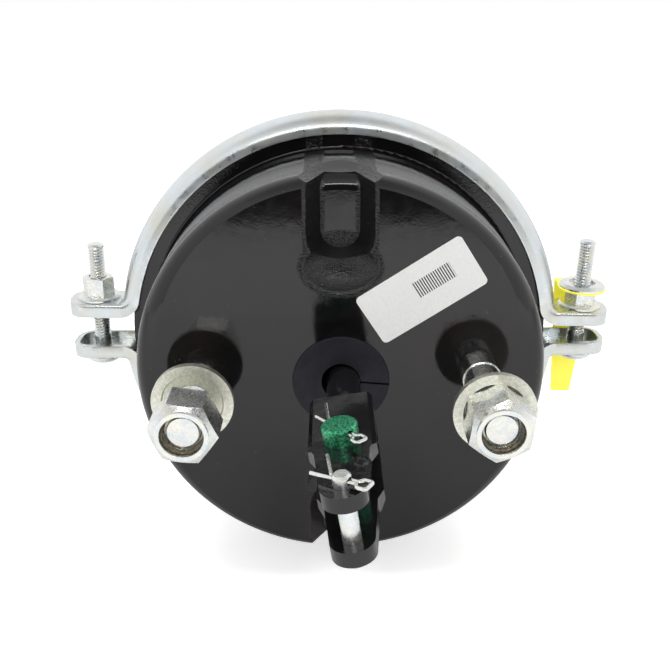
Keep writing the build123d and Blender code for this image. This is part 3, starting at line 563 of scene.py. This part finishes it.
# ---- rod seal ------------------------------------------------------------------------
# A moulded rubber disc in the face, split on the right so that it can be put on
# round the rod. Dull purple-black, with a fine cast grain.
def seal_finish():
    """Matt rubber with a bloom."""
    finish, tree, shader = bare_finish("seal_rubber", 0.0, IOR=1.33)
    clouded(tree, shader, blotches(tree, 0.007, 4), 0.35, 0.7, (0.009, 0.008, 0.013), (0.015, 0.0135, 0.02))
    uneven_gloss(tree, shader, 0.002, 3, 0.42, 0.6)
    relief(tree, shader, (blotches(tree, 0.0005, 2), 0.00003))
    return finish


dress(seal_finish(), "rod_seal")


# ---- push rod and clevis ---------------------------------------------------------------
# A 9/16 in rod and a forged clevis, dipped in the same black enamel. The forging's
# coarser skin shows through the paint, which is lightly scuffed.
def forging_finish():
    """Enamel over a forged skin, with fine scuffs where it was handled."""
    finish, tree, shader = bare_finish("black_forging", 0.0, IOR=1.55)
    scuffs = blotches(tree, 0.0035, 5, (1, 0.2, 1))
    clouded(tree, shader, scuffs, 0.66, 0.74, (0.0055, 0.0052, 0.0058), (0.03, 0.03, 0.03))
    uneven_gloss(tree, shader, 0.003, 3, 0.06, 0.16)
    relief(tree, shader, (blotches(tree, 0.0009, 3), 0.00003), (blotches(tree, 0.005, 2), 0.00012))
    return finish


dress(forging_finish(), "clevis", "push_rod")


# ---- clevis pins and cotters -------------------------------------------------------------
# The 1/2 in pin is green chromated to tell it from the plain zinc 1/4 in pin. Both
# are held by cotters of bright half-round wire.
def green_finish():
    """Green chromate over zinc, speckled."""
    finish, tree, shader = bare_finish("green_chromate", 0.75)
    clouded(tree, shader, blotches(tree, 0.0008, 4), 0.36, 0.64, (0.006, 0.13, 0.05), (0.10, 0.52, 0.28))
    uneven_gloss(tree, shader, 0.002, 3, 0.2, 0.38)
    relief(tree, shader, (blotches(tree, 0.0007, 3), 0.00004))
    return finish


dress(green_finish(), "large_clevis_pin")
dress(bright_zinc, "small_clevis_pin", "large_cotter", "small_cotter")


# ---- label ---------------------------------------------------------------------------------
# A die-cut paper label stuck on the face, with one block of plain even bars.
BAR_MIDDLE = (38.05 * MM, 45.05 * MM)     # centre of the bars, right and up
BAR_ANGLE = radians(32.8)
BAR_HALF_LONG = 8.6 * MM
BAR_HALF_TALL = 3.55 * MM
BAR_PITCH = 1.06 * MM


def within(tree, source, half):
    """One where the source lies between -half and half."""
    size = put(tree, "Math", {0: source}, operation="ABSOLUTE").outputs[0]
    return put(tree, "Math", {0: size, 1: half}, operation="LESS_THAN").outputs[0]


def label_finish():
    """Semi-gloss paper, faintly fibrous, with bars at an even pitch."""
    finish, tree, shader = bare_finish("label_paper", 0.0)
    centred = put(tree, "VectorMath", {0: own_place(tree), 1: (BAR_MIDDLE[0], 0, BAR_MIDDLE[1])},
                  operation="SUBTRACT").outputs[0]
    turned = put(tree, "VectorRotate", {"Vector": centred, "Angle": BAR_ANGLE}, rotation_type="Y_AXIS")
    axes = put(tree, "SeparateXYZ", {0: turned.outputs[0]})
    block = both(tree, within(tree, axes.outputs["X"], BAR_HALF_LONG),
                 within(tree, axes.outputs["Z"], BAR_HALF_TALL))
    wave = put(tree, "Math", {0: axes.outputs["X"], 1: BAR_PITCH}, operation="DIVIDE").outputs[0]
    phase = put(tree, "Math", {0: wave}, operation="FRACT").outputs[0]
    bar = put(tree, "Math", {0: phase, 1: 0.5}, operation="LESS_THAN").outputs[0]
    fibres = spread(tree, blotches(tree, 0.0012, 4), 0.3, 0.7, 0, 1)
    paper = tint(tree, fibres, (0.83, 0.83, 0.81), (0.77, 0.77, 0.755))
    printed = tint(tree, both(tree, block, bar), paper, (0.03, 0.03, 0.03))
    tree.links.new(printed, shader.inputs["Base Color"])
    uneven_gloss(tree, shader, 0.003, 3, 0.4, 0.55)
    relief(tree, shader, (blotches(tree, 0.0008, 3), 0.00001))
    return finish


dress(label_finish(), "label")


# ---- diaphragm, spring, push plate and port plug -----------------------------------------------
# What lies inside: a fabric-reinforced rubber diaphragm, the conical return spring
# in oiled wire, the pressed push plate. The spare air port has a brass plug.
def diaphragm_finish():
    """Moulded rubber with the weave of its fabric showing faintly."""
    finish, tree, shader = bare_finish("diaphragm_rubber", 0.0, Roughness=0.55)
    clouded(tree, shader, blotches(tree, 0.01, 3), 0.35, 0.65, (0.022, 0.021, 0.018), (0.034, 0.032, 0.026))
    weave = put(tree, "TexWave", {"Vector": own_place(tree), "Scale": 190.0, "Distortion": 0.4})
    relief(tree, shader, (weave.outputs["Fac"], 0.00005))
    return finish


def inner_steel_finish(name, light, dark, rough):
    """Plain steel with mill scale clouds."""
    finish, tree, shader = bare_finish(name, 1.0)
    clouded(tree, shader, blotches(tree, 0.006, 4), 0.35, 0.65, light, dark)
    uneven_gloss(tree, shader, 0.002, 3, rough, rough + 0.15)
    relief(tree, shader, (blotches(tree, 0.0009, 3), 0.00003))
    return finish


dress(diaphragm_finish(), "diaphragm")
dress(inner_steel_finish("spring_wire", (0.24, 0.24, 0.25), (0.15, 0.15, 0.16), 0.3), "return_spring")
dress(inner_steel_finish("plate_steel", (0.50, 0.50, 0.49), (0.36, 0.36, 0.35), 0.3), "push_plate")
dress(inner_steel_finish("plug_brass", (0.72, 0.53, 0.22), (0.55, 0.40, 0.16), 0.25), "port_plug")


# ---- table and room ----------------------------------------------------------------------------
# A white table just under the ring, in a room that is dark in front, pale at the sides
# and behind and dimmer overhead, with one small bright window in front. A soft lamp
# hangs over it.
TABLE_HALF = 3.0
TABLE_FRONT = -0.8
TABLE_BACK = 6.0
CAMERA_GLOW = 0.53          # what the table shines by itself, as the camera sees it
MIRROR_GLOW = 0.5           # and as mirrors see its front, from POOL_START to POOL_FULL
POOL_START = -0.10
POOL_FULL = -0.55
WINDOW_GLOW = 10.0


def table_finish():
    """Matt white, with enough glow of its own to look white beyond the shadow. Mirrors see it greyer near
    the chamber and brighter farther in front, which is painted shade of the chamber on the table; they see
    its matt part darker too."""
    finish = bpy.data.materials.new("white_table")
    finish.use_nodes = True
    tree = finish.node_tree
    tree.nodes.clear()
    rays = put(tree, "LightPath", {})
    mirrored = either(tree, rays.outputs["Is Glossy Ray"], rays.outputs["Is Transmission Ray"])
    ahead = put(tree, "SeparateXYZ", {0: own_place(tree)}).outputs["Y"]
    # Painted shade: mirrors see no glow near the chamber, rising to MIRROR_GLOW from POOL_FULL on.
    pool = spread(tree, ahead, POOL_START, POOL_FULL, 0, MIRROR_GLOW)
    seen = both(tree, rays.outputs["Is Camera Ray"], CAMERA_GLOW)
    glow = put(tree, "Math", {0: mirrored, 1: pool, 2: seen}, operation="MULTIPLY_ADD").outputs[0]
    lit = put(tree, "Emission", {"Color": (1, 1, 0.995, 1), "Strength": glow})
    matt = put(tree, "BsdfDiffuse", {"Color": spread(tree, mirrored, 0, 1, 0.8, 0.6)})
    total = put(tree, "AddShader", {0: lit.outputs[0], 1: matt.outputs[0]})
    put(tree, "OutputMaterial", {"Surface": total.outputs[0]})
    return finish


table_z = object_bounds()[0][2]
table_mesh = bpy.data.meshes.new("table")
table_mesh.from_pydata([(-TABLE_HALF, TABLE_FRONT, table_z), (TABLE_HALF, TABLE_FRONT, table_z),
                        (TABLE_HALF, TABLE_BACK, table_z), (-TABLE_HALF, TABLE_BACK, table_z)],
                       [], [(0, 1, 2, 3)])
table = bpy.data.objects.new("table", table_mesh)
bpy.context.scene.collection.objects.link(table)
table_mesh.materials.append(table_finish())


def grey_steps(tree, height, *steps):
    """Grey level against the height of a direction, from (height, grey) steps."""
    ramp = put(tree, "ValToRGB", {0: height})
    blend = ramp.color_ramp
    while len(blend.elements) < len(steps):
        blend.elements.new(1.0)
    for element, (at, grey) in zip(blend.elements, steps):
        element.position = at
        element.color = (grey, grey, grey, 1)
    return ramp.outputs[0]


def room_world():
    """Room as a function of a direction's y, which is negative in front, and of its
    height, the sine of its elevation. The window is 26 to 31 degrees up. The camera
    sees plain white."""
    world = bpy.data.worlds.new("room")
    world.use_nodes = True
    tree = world.node_tree
    tree.nodes.clear()
    way = put(tree, "SeparateXYZ", {0: put(tree, "TexCoord", {}).outputs["Generated"]})
    ahead, height = way.outputs["Y"], way.outputs["Z"]
    front = grey_steps(tree, height, (0, 0.04), (0.84, 0.04), (0.96, 0.42), (1, 0.46))
    beside = grey_steps(tree, height, (0, 0.95), (0.70, 0.95), (0.88, 0.62), (1, 0.46))
    behind = grey_steps(tree, height, (0, 1), (0.85, 1), (0.95, 0.6), (1, 0.46))
    near = tint(tree, spread(tree, ahead, -0.92, -0.78, 0, 1), front, beside)
    walls = tint(tree, spread(tree, ahead, -0.1, 0.3, 0, 1), near, behind)
    level = both(tree, spread(tree, height, 0.43, 0.45, 0, 1), spread(tree, height, 0.53, 0.51, 0, 1))
    window = both(tree, level, spread(tree, ahead, -0.82, -0.85, 0, 1))
    sky = put(tree, "Background", {"Color": walls, "Strength": 1.0})
    lamp = put(tree, "Background", {"Color": (1, 1, 1, 1), "Strength": both(tree, window, WINDOW_GLOW)})
    room = put(tree, "AddShader", {0: sky.outputs[0], 1: lamp.outputs[0]})
    white = put(tree, "Background", {"Color": (1, 1, 1, 1), "Strength": 1.0})
    seen = put(tree, "LightPath", {}).outputs["Is Camera Ray"]
    choice = put(tree, "MixShader", {0: seen, 1: room.outputs[0], 2: white.outputs[0]})
    put(tree, "OutputWorld", {"Surface": choice.outputs[0]})
    return world


def soft_lamp(name, place, aim, width, height, power):
    """Rectangular lamp at a place, facing its aim, left out of mirror reflections."""
    light = bpy.data.lights.new(name, "AREA")
    light.shape = "RECTANGLE"
    light.size = width
    light.size_y = height
    light.energy = power
    lamp = bpy.data.objects.new(name, light)
    lamp.location = place
    lamp.rotation_euler = (Vector(aim) - Vector(place)).to_track_quat("-Z", "Y").to_euler()
    lamp.visible_glossy = False
    bpy.context.scene.collection.objects.link(lamp)


bpy.context.scene.world = room_world()
soft_lamp("ceiling_lamp", (0.0, 0.05, 1.3), (0, 0.02, 0), 1.2, 1.0, 19)


# ---- camera ------------------------------------------------------------------------------------
# Hand-held in front of the clevis and a little above, looking down at the face.
CAMERA_PLACE = (-0.00445, -0.32608, 0.1547)
CAMERA_YAW = radians(0.39)
CAMERA_PITCH = radians(-22.3)
CAMERA_ROLL = radians(-0.25)
LENS_PIXELS = 845.7        # focal length, in pixels of a picture this wide
PICTURE_PIXELS = 671


def camera_turn():
    """Columns of the camera's right, up and backward axes."""
    forward = np.array([sin(CAMERA_YAW) * cos(CAMERA_PITCH), cos(CAMERA_YAW) * cos(CAMERA_PITCH),
                        sin(CAMERA_PITCH)])
    right = np.array([cos(CAMERA_YAW), -sin(CAMERA_YAW), 0.0])
    up = np.cross(right, forward)
    rolled_right = cos(CAMERA_ROLL) * right + sin(CAMERA_ROLL) * up
    rolled_up = -sin(CAMERA_ROLL) * right + cos(CAMERA_ROLL) * up
    return Matrix(np.column_stack([rolled_right, rolled_up, -forward]).tolist())


lens = bpy.data.cameras.new("camera")
lens.sensor_fit = "HORIZONTAL"
lens.sensor_width = 36.0
lens.lens = lens.sensor_width * LENS_PIXELS / PICTURE_PIXELS
lens.clip_start = 0.01
camera = bpy.data.objects.new("camera", lens)
camera.matrix_world = Matrix.Translation(CAMERA_PLACE) @ camera_turn().to_4x4()
bpy.context.scene.collection.objects.link(camera)
bpy.context.scene.camera = camera
bpy.context.scene.view_settings.view_transform = "Standard"
